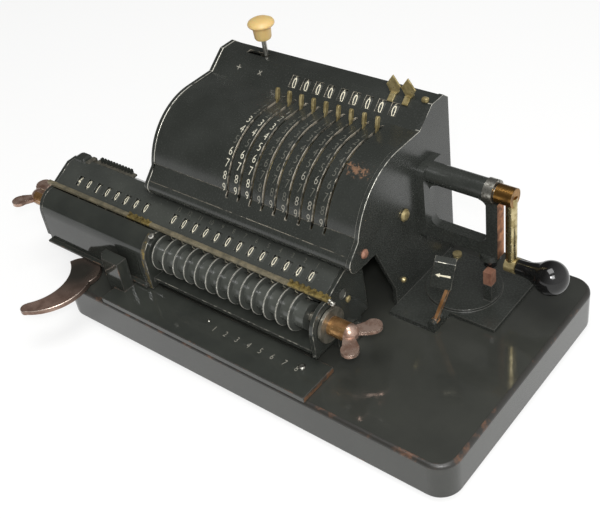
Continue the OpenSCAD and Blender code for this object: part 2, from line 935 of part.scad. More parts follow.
// End plates, divider, floor and dovetail runner, with the shaft bores
module carriage_frame() {
    length = carriage_left + carriage_right;
    floor_y = front_y + counter_t;
    seat()
        color(enamel)
            difference() {
                union() {
                    along_x(c_left, end_t)
                        end_outline();
                    along_x(c_in_right, end_t)
                        end_outline();
                    along_x(divider_x, divider_t)
                        divider_outline();
                    translate([c_left, floor_y, floor_z])
                        cube([length, carriage_back - floor_y, floor_t]);
                    translate([c_left, guide_y - runner_w / 2, base_top + ride_gap])
                        cube([length, runner_w, floor_z - base_top - ride_gap + eps]);
                }
                along_x(c_left - 1, length + 2)
                    dovetail(pass_gap);
                bar_x(c_left - 1, length + 2, thumb_y, thumb_z, register_shaft_r + run_gap);
                bar_x(c_left - 1, length + 2, digit_y, digit_z, register_shaft_r + run_gap);
            }
}

// Sheet over the digit wheels with a window for each column
module register_cover() {
    t = register_t;
    seat()
        color(enamel)
            difference() {
                along_x(c_in_left, c_in_right - c_in_left)
                    polygon([
                        [face_y0, face_z0 - t],
                        [face_y0, face_z0],
                        [face_y1, face_z1],
                        [crest_y, face_z1],
                        [carriage_back, face_z0],
                        [carriage_back, floor_z + floor_t],
                        [carriage_back - t, floor_z + floor_t],
                        [carriage_back - t, face_z0 - t / 2],
                        [crest_y - t / 2, face_z1 - t],
                        [face_y1 + t / 2, face_z1 - t]
                    ]);
                for (i = [0:result_cols - 1])
                    window_cut(-result_shift + i * col_pitch);
                for (i = [0:counter_cols - 1])
                    window_cut(-counter_shift + i * col_pitch);
            }
}

// Window over a digit wheel, square to the sloping face
module window_cut(x) {
    reach = digit_y - digit_reach * sin(window_tilt) - face_y0;
    translate([x, face_y0 + reach, face_z0 + reach * tan(window_tilt)])
        rotate([window_tilt, 0, 0])
            cube([digit_window[0], digit_window[1], 8], center = true);
}

// Rolled cover in front of the counter, with a foot flange
module counter_cover() {
    t = counter_t;
    seat()
        color(enamel)
            along_x(c_in_left, divider_x - c_in_left) {
                intersection() {
                    translate([bull_y, bull_z])
                        difference() {
                            circle(bull_r);
                            circle(bull_r - t);
                        }
                    translate([front_y - 1, bull_z])
                        square([bull_r + 1, bull_r + 1]);
                }
                translate([front_y, ride_z])
                    square([t, bull_z - ride_z + eps]);
                translate([front_y - counter_foot, ride_z])
                    square([counter_foot + t, t]);
            }
}

// Thin rail along the top of the rolled front, for the sliding pointers
module pointer_rail() {
    rail_z = 2.8;
    seat()
        color(brass)
            translate([c_left - 3, face_y0 - eps - pointer_w, bull_top])
                cube([carriage_left + carriage_right + 3, pointer_w, rail_z]);
}

// Digit wheels of one register on their shaft
module digit_wheels(x0, cols, shaft_x0, shaft_l) {
    bar_x(shaft_x0, shaft_l, digit_y, digit_z, register_shaft_r);
    for (i = [0:cols - 1])
        bar_x(x0 + i * col_pitch - digit_w / 2 + digit_shift, digit_w, digit_y, digit_z, digit_r);
}

module result_digits() {
    seat()
        color([0.13, 0.13, 0.13])
            digit_wheels(-result_shift, result_cols, divide_mid + 0.2, c_in_right - divider_x);
}

module counter_digits() {
    seat()
        color([0.13, 0.13, 0.13])
            digit_wheels(-counter_shift, counter_cols, c_left + 1, divide_mid - 1.2 - c_left);
}

// Clearing nut: flange, boss, dome and two flat wings, on its register shaft
module wing_nut(turn, x0, length, shaft_l) {
    nut_r = 6;
    dome_x = length - nut_l * 0.5;
    wing_r = 5.4;
    wing_t = 2.4;
    wing_y = wing_span / 2 - wing_r;
    translate([x0, thumb_y, thumb_z])
        rotate([0, 0, turn]) {
            translate([-shaft_l, 0, 0])
                rotate([0, 90, 0])
                    cylinder(h = shaft_l + 1, r = register_shaft_r);
            translate([pass_gap, 0, 0])
                rotate([0, 90, 0])
                    cylinder(h = 2, r = 11.4);
            rotate([0, 90, 0])
                cylinder(h = dome_x, r = nut_r);
            translate([dome_x, 0, 0])
                sphere(nut_r);
            for (side = [-1, 1])
                translate([0, 0, -wing_t / 2])
                    linear_extrude(wing_t) {
                        translate([length - wing_r, side * wing_y])
                            circle(wing_r);
                        polygon([
                            [dome_x - 4, 0],
                            [length - 2 * wing_r, side * wing_y],
                            [length - wing_r * 0.4, side * (wing_y - wing_r * 0.9)],
                            [dome_x + 3, 0]
                        ]);
                    }
        }
}

module result_wing_nut() {
    seat()
        color(copper)
            wing_nut(0, carriage_right, nut_l, carriage_right - divide_mid - 0.2);
}

module counter_wing_nut() {
    seat()
        color(copper)
            wing_nut(180, c_left, nut_l + nut_extra, divide_mid - 0.2 - c_left);
}

// Setting ring with its lever blade
module setting_lever(i) {
    x = (i - 1) * col_pitch;
    tip_r = drum_r + blade_rise;
    tab_z = drum_r / cos(lever_back) + blade_t / 2 * tan(lever_back);
    seat()
        color(brass)
            translate([x, drum_y, drum_z]) {
                difference() {
                    translate([-ring_w / 2, 0, 0])
                        rotate([0, 90, 0])
                            cylinder(h = ring_w, r = ring_r, $fn = 96);
                    translate([-ring_w, 0, 0])
                        rotate([0, 90, 0])
                            cylinder(h = 2 * ring_w, r = disc_r + run_gap);
                }
                rotate([-lever_back, 0, 0]) {
                    translate([-blade_w / 2, -blade_t / 2, ring_r - 3])
                        cube([blade_w, blade_t, tab_z - ring_r + 4]);
                    translate([-tab_w / 2, -blade_t / 2, tab_z])
                        cube([tab_w, blade_t, tip_r - blade_t / 2 - tab_z]);
                    translate([-tab_w / 2, 0, tip_r - blade_t / 2])
                        rotate([0, 90, 0])
                            cylinder(h = tab_w, r = blade_t / 2);
                }
            }
}

module check_dial(i) {
    x = (i - 1) * col_pitch;
    seat()
        color([0.13, 0.13, 0.13])
            difference() {
                bar_x(x - dial_w / 2, dial_w, dial_y, dial_z, dial_r);
                bar_x(x - dial_w, 2 * dial_w, dial_y, dial_z, spindle_r + run_gap);
            }
}

// Thumbwheel: hub with a thin knurled rim at its left end
module thumbwheel(i) {
    x = -result_shift + (i - 1) * col_pitch;
    seat()
        color([0.15, 0.15, 0.14])
            difference() {
                union() {
                    bar_x(x - 4.3, rim_w, thumb_y, thumb_z, thumb_r);
                    bar_x(x - 4.3, col_pitch - pass_gap, thumb_y, thumb_z, thumb_hub_r);
                }
                bar_x(x - col_pitch, 2 * col_pitch, thumb_y, thumb_z, register_shaft_r + run_gap);
            }
}

base();
base_feet();
scale_rail();
guide_rail();
left_side_plate();
right_side_plate();
top_cover();
rear_cover();
crank_bracket();
frame_screws();
crank_latch();
rotor();
crank_shaft();
crank_arm();
crank_handle();
function_lever();
function_knob();
marker_left();
marker_right();
arrow_lever();
shift_lever();
carriage_frame();
register_cover();
counter_cover();
pointer_rail();
result_digits();
counter_digits();
result_wing_nut();
counter_wing_nut();
for (i = [1:setting_cols])
    setting_lever(i);
for (i = [1:setting_cols])
    check_dial(i);
for (i = [1:result_cols])
    thumbwheel(i);
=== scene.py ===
import json
import math

import bmesh
import bpy
from mathutils import Matrix, Vector

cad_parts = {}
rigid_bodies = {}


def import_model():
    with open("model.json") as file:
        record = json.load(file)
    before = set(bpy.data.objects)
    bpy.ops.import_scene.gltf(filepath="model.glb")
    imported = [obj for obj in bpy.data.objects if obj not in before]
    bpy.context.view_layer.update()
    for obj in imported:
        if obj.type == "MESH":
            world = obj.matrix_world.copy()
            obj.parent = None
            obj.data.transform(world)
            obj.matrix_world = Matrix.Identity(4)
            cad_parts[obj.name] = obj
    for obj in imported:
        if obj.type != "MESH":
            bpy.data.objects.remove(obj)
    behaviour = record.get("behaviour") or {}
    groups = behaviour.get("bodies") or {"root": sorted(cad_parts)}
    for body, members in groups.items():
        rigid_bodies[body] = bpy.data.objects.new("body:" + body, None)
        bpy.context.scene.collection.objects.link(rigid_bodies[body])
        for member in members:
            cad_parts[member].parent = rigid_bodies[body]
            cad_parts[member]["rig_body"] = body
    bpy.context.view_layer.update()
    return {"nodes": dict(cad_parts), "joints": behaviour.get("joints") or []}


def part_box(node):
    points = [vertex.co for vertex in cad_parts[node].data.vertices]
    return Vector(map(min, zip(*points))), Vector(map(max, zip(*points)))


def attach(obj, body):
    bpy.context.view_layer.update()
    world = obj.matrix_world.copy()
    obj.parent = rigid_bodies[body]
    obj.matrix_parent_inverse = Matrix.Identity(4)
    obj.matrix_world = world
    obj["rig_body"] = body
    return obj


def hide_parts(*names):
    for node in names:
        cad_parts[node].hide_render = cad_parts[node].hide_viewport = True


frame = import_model()
scene = bpy.context.scene
scene.view_settings.view_transform = "Standard"


# The photographer's place: a hand-held camera in front of the right corner, looking down,
# tipped a little clockwise. The picture is 600 by 519 and its lens is given in pixels.
mm = 0.001
base_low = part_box("base")[0]
first_column = 117 * mm
machine_zero = Vector((base_low[0] + first_column, base_low[1], 0))


def at(x, y, z):
    """A place in millimetres from the first lever column, the base's front edge and the table."""
    return machine_zero + Vector((x, y, z)) * mm


picture_w = 600
lens_px = 994.0
camera_at = at(382.2, -271.5, 449.4)
look_along = Vector((-0.5462, 0.5564, -0.6262))
camera_roll = math.radians(-9.57)

camera = bpy.data.cameras.new("camera")
camera.sensor_width = 36
camera.lens = lens_px / picture_w * camera.sensor_width
viewer = bpy.data.objects.new("camera", camera)
turn = look_along.to_track_quat("-Z", "Y").to_matrix().to_4x4()
viewer.matrix_world = Matrix.Translation(camera_at) @ turn @ Matrix.Rotation(camera_roll, 4, "Z")
scene.collection.objects.link(viewer)
scene.camera = viewer


# The table: a white sheet that runs on behind the machine, matt paper that keeps the soft
# shadow. Seen directly or in a reflection it is lifted towards white.
def linear(code):
    """Linear colour of an sRGB hex code."""
    parts = [int(code[i:i + 2], 16) / 255 for i in (1, 3, 5)]
    return [p / 12.92 if p <= 0.04045 else ((p + 0.055) / 1.055) ** 2.4 for p in parts] + [1.0]


def add_node(tree, kind, settings, inputs):
    """Adds one node; each input is a plain value or the output socket that feeds it."""
    made = tree.nodes.new(kind)
    for name, value in settings.items():
        setattr(made, name, value)
    for name, value in inputs.items():
        if isinstance(value, bpy.types.NodeSocket):
            tree.links.new(value, made.inputs[name])
        else:
            made.inputs[name].default_value = value
    return made


def new_finish(name):
    """A new material with its node tree and its main shader."""
    made = bpy.data.materials.new(name)
    made.use_nodes = True
    return made, made.node_tree, made.node_tree.nodes["Principled BSDF"]


def paper_white(name, lift):
    """Matt white paper that glows by the share lift where it is seen or mirrored."""
    made, tree, shader = new_finish(name)
    shader.inputs["Base Color"].default_value = linear("#f2f2f0")
    shader.inputs["Roughness"].default_value = 0.9
    shader.inputs["Specular IOR Level"].default_value = 0.1
    path = add_node(tree, "ShaderNodeLightPath", {}, {})
    seen = add_node(tree, "ShaderNodeMath", {"operation": "MAXIMUM"},
                    {0: path.outputs["Is Camera Ray"], 1: path.outputs["Is Glossy Ray"]})
    seen = add_node(tree, "ShaderNodeMath", {"operation": "MAXIMUM"},
                    {0: seen.outputs[0], 1: path.outputs["Is Transmission Ray"]})
    share = add_node(tree, "ShaderNodeMath", {"operation": "MULTIPLY"},
                     {0: seen.outputs[0], 1: lift})
    glow = add_node(tree, "ShaderNodeEmission", {}, {"Color": (1, 1, 1, 1), "Strength": 1.0})
    both = add_node(tree, "ShaderNodeMixShader", {},
                    {0: share.outputs[0], 1: shader.outputs[0], 2: glow.outputs[0]})
    tree.links.new(both.outputs[0], tree.nodes["Material Output"].inputs["Surface"])
    return made


floor_reach = 8.0
floor_corners = [(-floor_reach, -floor_reach, 0), (floor_reach, -floor_reach, 0),
                 (floor_reach, floor_reach, 0), (-floor_reach, floor_reach, 0)]
floor = bpy.data.meshes.new("table")
floor.from_pydata(floor_corners, [], [(0, 1, 2, 3)])
floor.materials.append(paper_white("white_table_paper", 0.72))
table_top = bpy.data.objects.new("table", floor)
scene.collection.objects.link(table_top)


# The room: pale walls, dim towards the left, where the black tops mirror them, and brighter at
# the right. Two soft boxes hang above, and the camera carries a small flash.
world = bpy.data.worlds.new("studio")
scene.world = world
world.use_nodes = True
room = world.node_tree
direction = add_node(room, "ShaderNodeTexCoord", {}, {}).outputs["Generated"]
sideways = add_node(room, "ShaderNodeSeparateXYZ", {}, {0: direction}).outputs["X"]
level = add_node(room, "ShaderNodeMapRange", {},
                 {"Value": sideways, "From Min": -0.5, "From Max": 0.9,
                  "To Min": 0.07, "To Max": 0.9})
room.nodes["Background"].inputs["Color"].default_value = (1, 1, 1, 1)
room.links.new(level.outputs[0], room.nodes["Background"].inputs["Strength"])


def soft_lamp(name, place, aim, size, power):
    """A square soft box that hangs at a place and faces a point."""
    lamp = bpy.data.lights.new(name, "AREA")
    lamp.size = size
    lamp.energy = power
    holder = bpy.data.objects.new(name, lamp)
    facing = (Vector(aim) - Vector(place)).to_track_quat("-Z", "Y").to_matrix().to_4x4()
    holder.matrix_world = Matrix.Translation(place) @ facing
    scene.collection.objects.link(holder)


machine_middle = (0.0, 0.0, 0.08)
soft_lamp("key_lamp", (0.9, -0.7, 1.1), machine_middle, 0.5, 9)
soft_lamp("top_lamp", (0.15, -0.1, 1.5), machine_middle, 0.8, 12)
soft_lamp("flash_lamp", camera_at + Vector((0, 0, 0.05)), machine_middle, 0.05, 1.6)


# Black base slab: enamelled hardwood with rounded corners. The enamel has gone brown along
# the top edges where hands and the carriage rub it. Rubber feet are pressed in below.
def per_mm(size):
    """Texture scale whose features are about this many millimetres wide."""
    return 1 / (size * mm)


def stoved_enamel(name, dark, pale, patch_mm, gloss):
    """Stoved black enamel: near black, a little cloudy, with dust in the gloss. The dust is drawn
    coarser than it is, so that it shows."""
    made, tree, shader = new_finish(name)
    place = add_node(tree, "ShaderNodeTexCoord", {}, {}).outputs["Object"]
    cloud = add_node(tree, "ShaderNodeTexNoise", {},
                     {"Vector": place, "Scale": per_mm(patch_mm), "Detail": 5.0, "Roughness": 0.6})
    tone = add_node(tree, "ShaderNodeValToRGB", {}, {"Fac": cloud.outputs["Fac"]})
    tone.color_ramp.elements[0].position = 0.38
    tone.color_ramp.elements[0].color = linear(dark)
    tone.color_ramp.elements[1].position = 0.68
    tone.color_ramp.elements[1].color = linear(pale)
    dust_mm = 1.2
    dust = add_node(tree, "ShaderNodeTexNoise", {},
                    {"Vector": place, "Scale": per_mm(dust_mm), "Detail": 3.0})
    rough = add_node(tree, "ShaderNodeMapRange", {},
                     {"Value": dust.outputs["Fac"], "From Min": 0.4, "From Max": 0.75,
                      "To Min": gloss, "To Max": gloss + 0.1})
    grain = add_node(tree, "ShaderNodeBump", {},
                     {"Height": dust.outputs["Fac"], "Strength": 0.05, "Distance": 0.05 * mm})
    tree.links.new(tone.outputs["Color"], shader.inputs["Base Color"])
    tree.links.new(rough.outputs[0], shader.inputs["Roughness"])
    tree.links.new(grain.outputs["Normal"], shader.inputs["Normal"])
    shader.inputs["IOR"].default_value = 1.5
    return made


def rubbed_edge(name, enamel, bare, patch_mm, cover, bare_metal, low_cover=None):
    """Enamel rubbed through at an edge: patches of the bare material show between black. With a
    low_cover the edges near the base keep more of their enamel than those higher up."""
    made, tree, shader = new_finish(name)
    low_z = 70 * mm
    high_z = 90 * mm
    place = add_node(tree, "ShaderNodeTexCoord", {}, {}).outputs["Object"]
    rub = add_node(tree, "ShaderNodeTexNoise", {},
                   {"Vector": place, "Scale": per_mm(patch_mm), "Detail": 4.0, "Roughness": 0.7})
    height = add_node(tree, "ShaderNodeSeparateXYZ", {}, {0: place})
    limit = add_node(tree, "ShaderNodeMapRange", {},
                     {"Value": height.outputs["Z"], "From Min": low_z, "From Max": high_z,
                      "To Min": low_cover or cover, "To Max": cover})
    above = add_node(tree, "ShaderNodeMath", {"operation": "SUBTRACT"},
                     {0: rub.outputs["Fac"], 1: limit.outputs[0]})
    mask = add_node(tree, "ShaderNodeMapRange", {}, {"Value": above.outputs[0], "From Max": 0.12})
    tone = add_node(tree, "ShaderNodeMix", {"data_type": "RGBA"},
                    {0: mask.outputs[0], 6: linear(enamel), 7: linear(bare)})
    metal = add_node(tree, "ShaderNodeMath", {"operation": "MULTIPLY"},
                     {0: mask.outputs[0], 1: bare_metal})
    tree.links.new(tone.outputs[2], shader.inputs["Base Color"])
    tree.links.new(metal.outputs[0], shader.inputs["Metallic"])
    shader.inputs["Roughness"].default_value = 0.38
    return made


def dress(node, finishes, edge_mm=0.0, rounds=2, crease=32, worn=32, pick=None, spare=None,
          clamp=False, join=True):
    """A copy of a solid with its triangles joined and its edges broken where they turn by more than
    the worn angle, unless spare keeps them; the last of several finishes is for the broken edges,
    pick chooses the others."""
    source = frame["nodes"][node]
    mesh = source.data.copy()
    piece = bpy.data.objects.new("dressed_" + node, mesh)
    scene.collection.objects.link(piece)
    if "custom_normal" in mesh.attributes:
        mesh.attributes.remove(mesh.attributes["custom_normal"])
    mesh.materials.clear()
    for finish in finishes:
        mesh.materials.append(finish)
    weld = 0.02 * mm
    flat = math.radians(0.5)
    solid = bmesh.new()
    solid.from_mesh(mesh)
    bmesh.ops.remove_doubles(solid, verts=solid.verts, dist=weld)
    if join:
        bmesh.ops.dissolve_limit(solid, angle_limit=flat, verts=solid.verts, edges=solid.edges)
    for face in solid.faces:
        face.smooth = True
        face.material_index = pick(face) if pick else 0
    weight = solid.edges.layers.float.new("bevel_weight_edge")
    for edge in solid.edges:
        turn = edge.calc_face_angle(0)
        edge.smooth = turn < math.radians(crease)
        edge[weight] = float(turn > math.radians(worn) and not (spare and spare(edge)))
    solid.to_mesh(mesh)
    solid.free()
    if edge_mm:
        broken = piece.modifiers.new("broken_edges", "BEVEL")
        broken.width = edge_mm * mm
        broken.segments = rounds
        broken.limit_method = "WEIGHT"
        broken.use_clamp_overlap = clamp
        broken.harden_normals = True
        broken.material = len(finishes) - 1 if len(finishes) > 1 else -1
    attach(piece, source["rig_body"])
    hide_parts(node)


def even_finish(name, code, roughness):
    """A finish of one colour and one gloss."""
    made, tree, shader = new_finish(name)
    shader.inputs["Base Color"].default_value = linear(code)
    shader.inputs["Roughness"].default_value = roughness
    return made


def coat(node, finish):
    """Gives a solid its finish and leaves its shape."""
    mesh = frame["nodes"][node].data
    mesh.materials.clear()
    mesh.materials.append(finish)


base_enamel = stoved_enamel("base_enamel_on_hardwood", "#2b2c29", "#333430", 60, 0.06)
base_edge = rubbed_edge("base_enamel_rubbed_brown", "#262522", "#5a4030", 14, 0.54, 0.0)
dress("base", [base_enamel, base_edge], edge_mm=2.6, rounds=4)
# Moulded rubber: dull and nearly black.
coat("base_feet", even_finish("moulded_rubber", "#1a1a1a", 0.85))


# Scale rail: a steel strip in black enamel along the front, stamped with the carriage
# positions, with the bevelled stop block at its left end. Its right end is rubbed to copper,
# and a pin and a screw hold it down.
black = stoved_enamel("stoved_black_enamel", "#292b28", "#323430", 35, 0.05)
edge_brown = rubbed_edge("enamel_rubbed_to_brown", "#2f2e2a", "#6b5546", 9, 0.56, 0.4)
copper_end = rubbed_edge("rail_end_rubbed_to_copper", "#34302b", "#86634a", 9, 0.46, 0.6)
rail_low, rail_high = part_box("scale_rail")


def rail_finish(face):
    """Copper on the right end, black elsewhere."""
    return 1 if face.calc_center_median().x > rail_high[0] - 0.1 * mm else 0


dress("scale_rail", [black, copper_end, edge_brown], edge_mm=0.5, pick=rail_finish)


def add_piece(name, points, faces, finish, body, finish_slot, edge_mm=0.0):
    """A closed piece with no solid of its own, on a body; its edges are broken if a width is given."""
    mesh = bpy.data.meshes.new(name)
    mesh.from_pydata(points, [], faces)
    mesh.materials.append(finish)
    piece = bpy.data.objects.new(name, mesh)
    scene.collection.objects.link(piece)
    if edge_mm:
        broken = piece.modifiers.new("broken_edges", "BEVEL")
        broken.width = edge_mm * mm
        broken.segments = 2
    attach(piece, body)


figure_forms = {}


def figure_form(text, weight):
    """Points and faces of a printed figure, one unit tall and centred, 0 to 1 thick, cut across so
    that it bends round a drum."""
    if (text, weight) not in figure_forms:
        letter = bpy.data.curves.new("figure", "FONT")
        letter.body = text
        letter.resolution_u = 3
        letter.extrude = 0.5
        letter.offset = weight
        holder = bpy.data.objects.new("figure", letter)
        scene.collection.objects.link(holder)
        bpy.context.view_layer.update()
        form = bmesh.new()
        form.from_mesh(bpy.data.meshes.new_from_object(
            holder.evaluated_get(bpy.context.evaluated_depsgraph_get())))
        bmesh.ops.remove_doubles(form, verts=form.verts, dist=0.0001)
        low, high = [Vector([end(v.co[i] for v in form.verts) for i in range(3)])
                     for end in (min, max)]
        middle = (low + high) / 2
        tall = high.y - low.y
        bends = 8
        for cut in range(1, bends):
            bmesh.ops.bisect_plane(form, geom=form.verts[:] + form.edges[:] + form.faces[:],
                                   plane_co=(0, low.y + tall * cut / bends, 0), plane_no=(0, 1, 0))
        form.verts.index_update()
        points = [((v.co.x - middle.x) / tall, (v.co.y - middle.y) / tall, v.co.z - low.z)
                  for v in form.verts]
        figure_forms[text, weight] = points, [[v.index for v in f.verts] for f in form.faces]
        form.free()
        bpy.data.objects.remove(holder)
    return figure_forms[text, weight]


figure_thick = 0.06 * mm


def print_figures(name, marks, paint, body, narrow=0.78, weight=0.0):
    """Joins printed figures into one piece; a mark is its text, its height and its place."""
    points = []
    faces = []
    for text, tall, place in marks:
        form, cells = figure_form(text, weight)
        first = len(points)
        points += [place(u * tall * narrow, v * tall, w * figure_thick) for u, v, w in form]
        faces += [[first + i for i in cell] for cell in cells]
    add_piece(name, points, faces, paint, body, "ivory")


def on_flat(centre, right, up):
    """Places a figure on a plane: its middle, its reading direction and its upright."""
    right = Vector(right).normalized()
    up = Vector(up).normalized()
    out = right.cross(up)
    return lambda u, v, w: Vector(centre) + u * right + v * up + w * out


# Figure paint: flat oil paint rubbed into stamped figures, greyer the more it is worn.
paint_rough = 0.55
dim = even_finish("rubbed_figure_paint", "#8a877c", paint_rough)
joint_of = {j["name"]: j for j in frame["joints"]}
drum = Vector(joint_of["setting_1"]["pos_m"])
pitch = joint_of["setting_2"]["pos_m"][0] - drum.x
rail_top = rail_low[2] + 4.1 * mm
rail_mark_y = rail_low[1] + 16.8 * mm
first_mark_x = drum.x + 1.62 * pitch
rail_marks = [(str(i + 1), 4.2 * mm,
               on_flat((first_mark_x + i * pitch, rail_mark_y, rail_top), (1, 0, 0), (0, 1, 0)))
              for i in range(8)]
print_figures("rail_figures", rail_marks, dim, "frame", weight=-0.016)


def old_metal(name, bright, tarnish, patch_mm, smooth, dull, bare=1.0):
    """Bare metal that has been handled for years: bright where rubbed, brown or grey between; a
    bare share below one leaves a film of dirt that scatters light."""
    made, tree, shader = new_finish(name)
    place = add_node(tree, "ShaderNodeTexCoord", {}, {}).outputs["Object"]
    patch = add_node(tree, "ShaderNodeTexNoise", {},
                     {"Vector": place, "Scale": per_mm(patch_mm), "Detail": 4.0, "Roughness": 0.65})
    tone = add_node(tree, "ShaderNodeValToRGB", {}, {"Fac": patch.outputs["Fac"]})
    tone.color_ramp.elements[0].position = 0.38
    tone.color_ramp.elements[0].color = linear(tarnish)
    tone.color_ramp.elements[1].position = 0.62
    tone.color_ramp.elements[1].color = linear(bright)
    rough = add_node(tree, "ShaderNodeMapRange", {},
                     {"Value": patch.outputs["Fac"], "From Min": 0.35, "From Max": 0.65,
                      "To Min": dull, "To Max": smooth})
    tree.links.new(tone.outputs["Color"], shader.inputs["Base Color"])
    tree.links.new(rough.outputs[0], shader.inputs["Roughness"])
    shader.inputs["Metallic"].default_value = bare
    return made


def turned(name, profile, place, out, finish, body, finish_slot):
    """A turned piece: rings of (radius, height) in millimetres stacked from a place along out."""
    steps = 28
    turn = Vector(out).to_track_quat("Z", "Y").to_matrix()
    points = []
    for radius, height in profile:
        for i in range(steps):
            a = 2 * math.pi * i / steps
            ring_point = Vector((radius * math.cos(a), radius * math.sin(a), height))
            points.append(place + turn @ ring_point * mm)
    faces = [list(range(steps - 1, -1, -1)), [len(points) - steps + i for i in range(steps)]]
    for k in range(len(profile) - 1):
        for i in range(steps):
            j = (i + 1) % steps
            faces.append([k * steps + i, k * steps + j, (k + 1) * steps + j, (k + 1) * steps + i])
    add_piece(name, points, faces, finish, body, finish_slot)


steel = old_metal("machined_steel", "#b9b7af", "#7f7d76", 6, 0.25, 0.4)
bright_steel = old_metal("bright_screw_steel", "#d2d0c8", "#9a988f", 3, 0.2, 0.35)
turned("rail_pin", [(1.1, -0.2), (1.1, 0.4), (0.6, 0.9)], at(7.3, 20.3, 34.5), (0, 0, 1),
       bright_steel, "frame", "steel")
turned("rail_screw", [(2.4, -0.2), (2.4, 0.5), (1.6, 1.0)], at(83.5, 19.4, 34.5), (0, 0, 1),
       steel, "frame", "steel")


# Guide rail: a bare steel dovetail under the carriage, planed to fit and screwed to the base.
# It only shows as a grey strip when the carriage is run to one side.
coat("guide_rail", steel)


# Housing: two sheet-steel side plates, the rolled drum cover with its lever slots and check
# windows, and a flat back, all stoved black and held by small screws. The edges and the slots
# are rubbed bright, and one patch of the drum is worn down to brown.
satin = stoved_enamel("dulled_black_enamel", "#272926", "#30322f", 30, 0.24)
plate_edge = rubbed_edge("plate_edge_rubbed_bright", "#3a3a36", "#c4c2b8", 9, 0.4, 0.9, low_cover=0.66)
arrow_pivot = Vector(joint_of["arrow_lever_tilt"]["pos_m"])
ear_room = 12 * mm


def beside_ears(edge):
    """The short edges round the arrow lever's ears stay sharp."""
    return min((corner.co - arrow_pivot).length for corner in edge.verts) < ear_room


dress("left_side_plate", [satin, plate_edge], edge_mm=0.4)
dress("right_side_plate", [satin, plate_edge], edge_mm=0.3, spare=beside_ears, join=False)

worn_cover = stoved_enamel("drum_enamel_with_worn_patch", "#272926", "#2f312e", 30, 0.22)
tree = worn_cover.node_tree
shader = tree.nodes["Principled BSDF"]
patch_middle = at(86, 88.5, 133)
patch_reach = 10 * mm
patch_fade = 4 * mm
spot = add_node(tree, "ShaderNodeTexCoord", {}, {}).outputs["Object"]
offset = add_node(tree, "ShaderNodeVectorMath", {"operation": "SUBTRACT"},
                  {0: spot, 1: patch_middle})
shape = add_node(tree, "ShaderNodeVectorMath", {"operation": "MULTIPLY"},
                 {0: offset.outputs[0], 1: (0.6, 1.6, 1.6)})
far = add_node(tree, "ShaderNodeVectorMath", {"operation": "LENGTH"}, {0: shape.outputs[0]})
ragged = add_node(tree, "ShaderNodeTexNoise", {},
                  {"Vector": spot, "Scale": per_mm(3), "Detail": 6.0, "Roughness": 0.7})
reach = add_node(tree, "ShaderNodeMapRange", {},
                 {"Value": ragged.outputs["Fac"], "From Min": 0.4, "From Max": 0.62,
                  "To Max": patch_reach})
inside = add_node(tree, "ShaderNodeMath", {"operation": "SUBTRACT"},
                  {0: reach.outputs[0], 1: far.outputs["Value"]})
worn = add_node(tree, "ShaderNodeMapRange", {},
                {"Value": inside.outputs[0], "From Max": patch_fade})
whole_tone = shader.inputs["Base Color"].links[0].from_socket
mixed = add_node(tree, "ShaderNodeMix", {"data_type": "RGBA"},
                 {0: worn.outputs[0], 6: whole_tone, 7: linear("#6f5542")})
tree.links.new(mixed.outputs[2], shader.inputs["Base Color"])

slot_edge = rubbed_edge("slot_edge_rubbed", "#3a3a34", "#b0a898", 7, 0.44, 0.5)
setting_count = 9
cover_radius = 45.4 * mm
slot_top = drum.z + 44.5 * mm


def slot_wall(face):
    """The walls of the lever slots are rubbed by the levers; the rest of the cover is enamelled."""
    middle = face.calc_center_median()
    reach = math.hypot(middle.y - drum.y, middle.z - drum.z)
    on_wall = (abs(face.normal.x) > 0.9
               and drum.x - pitch < middle.x < drum.x + setting_count * pitch)
    return 1 if on_wall and reach < cover_radius + 1 * mm and middle.z < slot_top else 0


dress("top_cover", [worn_cover, slot_edge, slot_edge], edge_mm=0.2, rounds=1, crease=20, worn=50,
      pick=slot_wall)


def on_drum(x, axis, radius, angle):
    """Places a figure round a drum whose axis runs along x; angle is from the back over the top."""
    def place(u, v, w):
        a = math.radians(angle) - v / radius
        out = radius + w
        return Vector((x + u, axis[1] + out * math.cos(a), axis[2] + out * math.sin(a)))
    return place


wear_paints = {"bright": even_finish("aged_figure_paint", "#c6c2b0", paint_rough), "dim": dim,
               "faded": even_finish("worn_figure_paint", "#55554d", paint_rough)}
lever_rest = 90 - 15.3
lever_step = joint_of["setting_1"]["range_deg"][1] / 9
figure_gap = 3.4 * mm
figure_lift = 0.02 * mm
# The first three columns have kept their paint; the others are mostly rubbed away.
drum_marks = {wear: [] for wear in wear_paints}
for column in range(setting_count):
    for value in range(10):
        spot = on_drum(drum.x + column * pitch - figure_gap, drum, cover_radius + figure_lift,
                       lever_rest + value * lever_step)
        wear = "faded"
        if column < 3 and value not in (1, 2, 5) or (column, value) == (2, 5):
            wear = "bright"
        elif value in (0, 9) or column == 2 or column in (6, 7) and value in (6, 8):
            wear = "dim"
        drum_marks[wear].append((str(value), 5.3 * mm, spot))
for wear, marks in drum_marks.items():
    print_figures("drum_figures_" + wear, marks, wear_paints[wear], "frame",
                  narrow=0.74, weight=-0.014)

head_slope = 36.6
bevel_up = (0, math.cos(math.radians(head_slope)), math.sin(math.radians(head_slope)))
function_marks = [("+", 3.6 * mm, on_flat(at(-45.4, 137.7, 142.9), (1, 0, 0), bevel_up)),
                  ("x", 3.0 * mm, on_flat(at(-27.1, 137.6, 142.9), (1, 0, 0), bevel_up))]
print_figures("function_marks", function_marks, dim, "frame", narrow=1.0)

edge_bright = rubbed_edge("enamel_rubbed_to_metal", "#33332f", "#a3a094", 5, 0.5, 0.8)
dress("rear_cover", [satin, edge_bright], edge_mm=0.3)

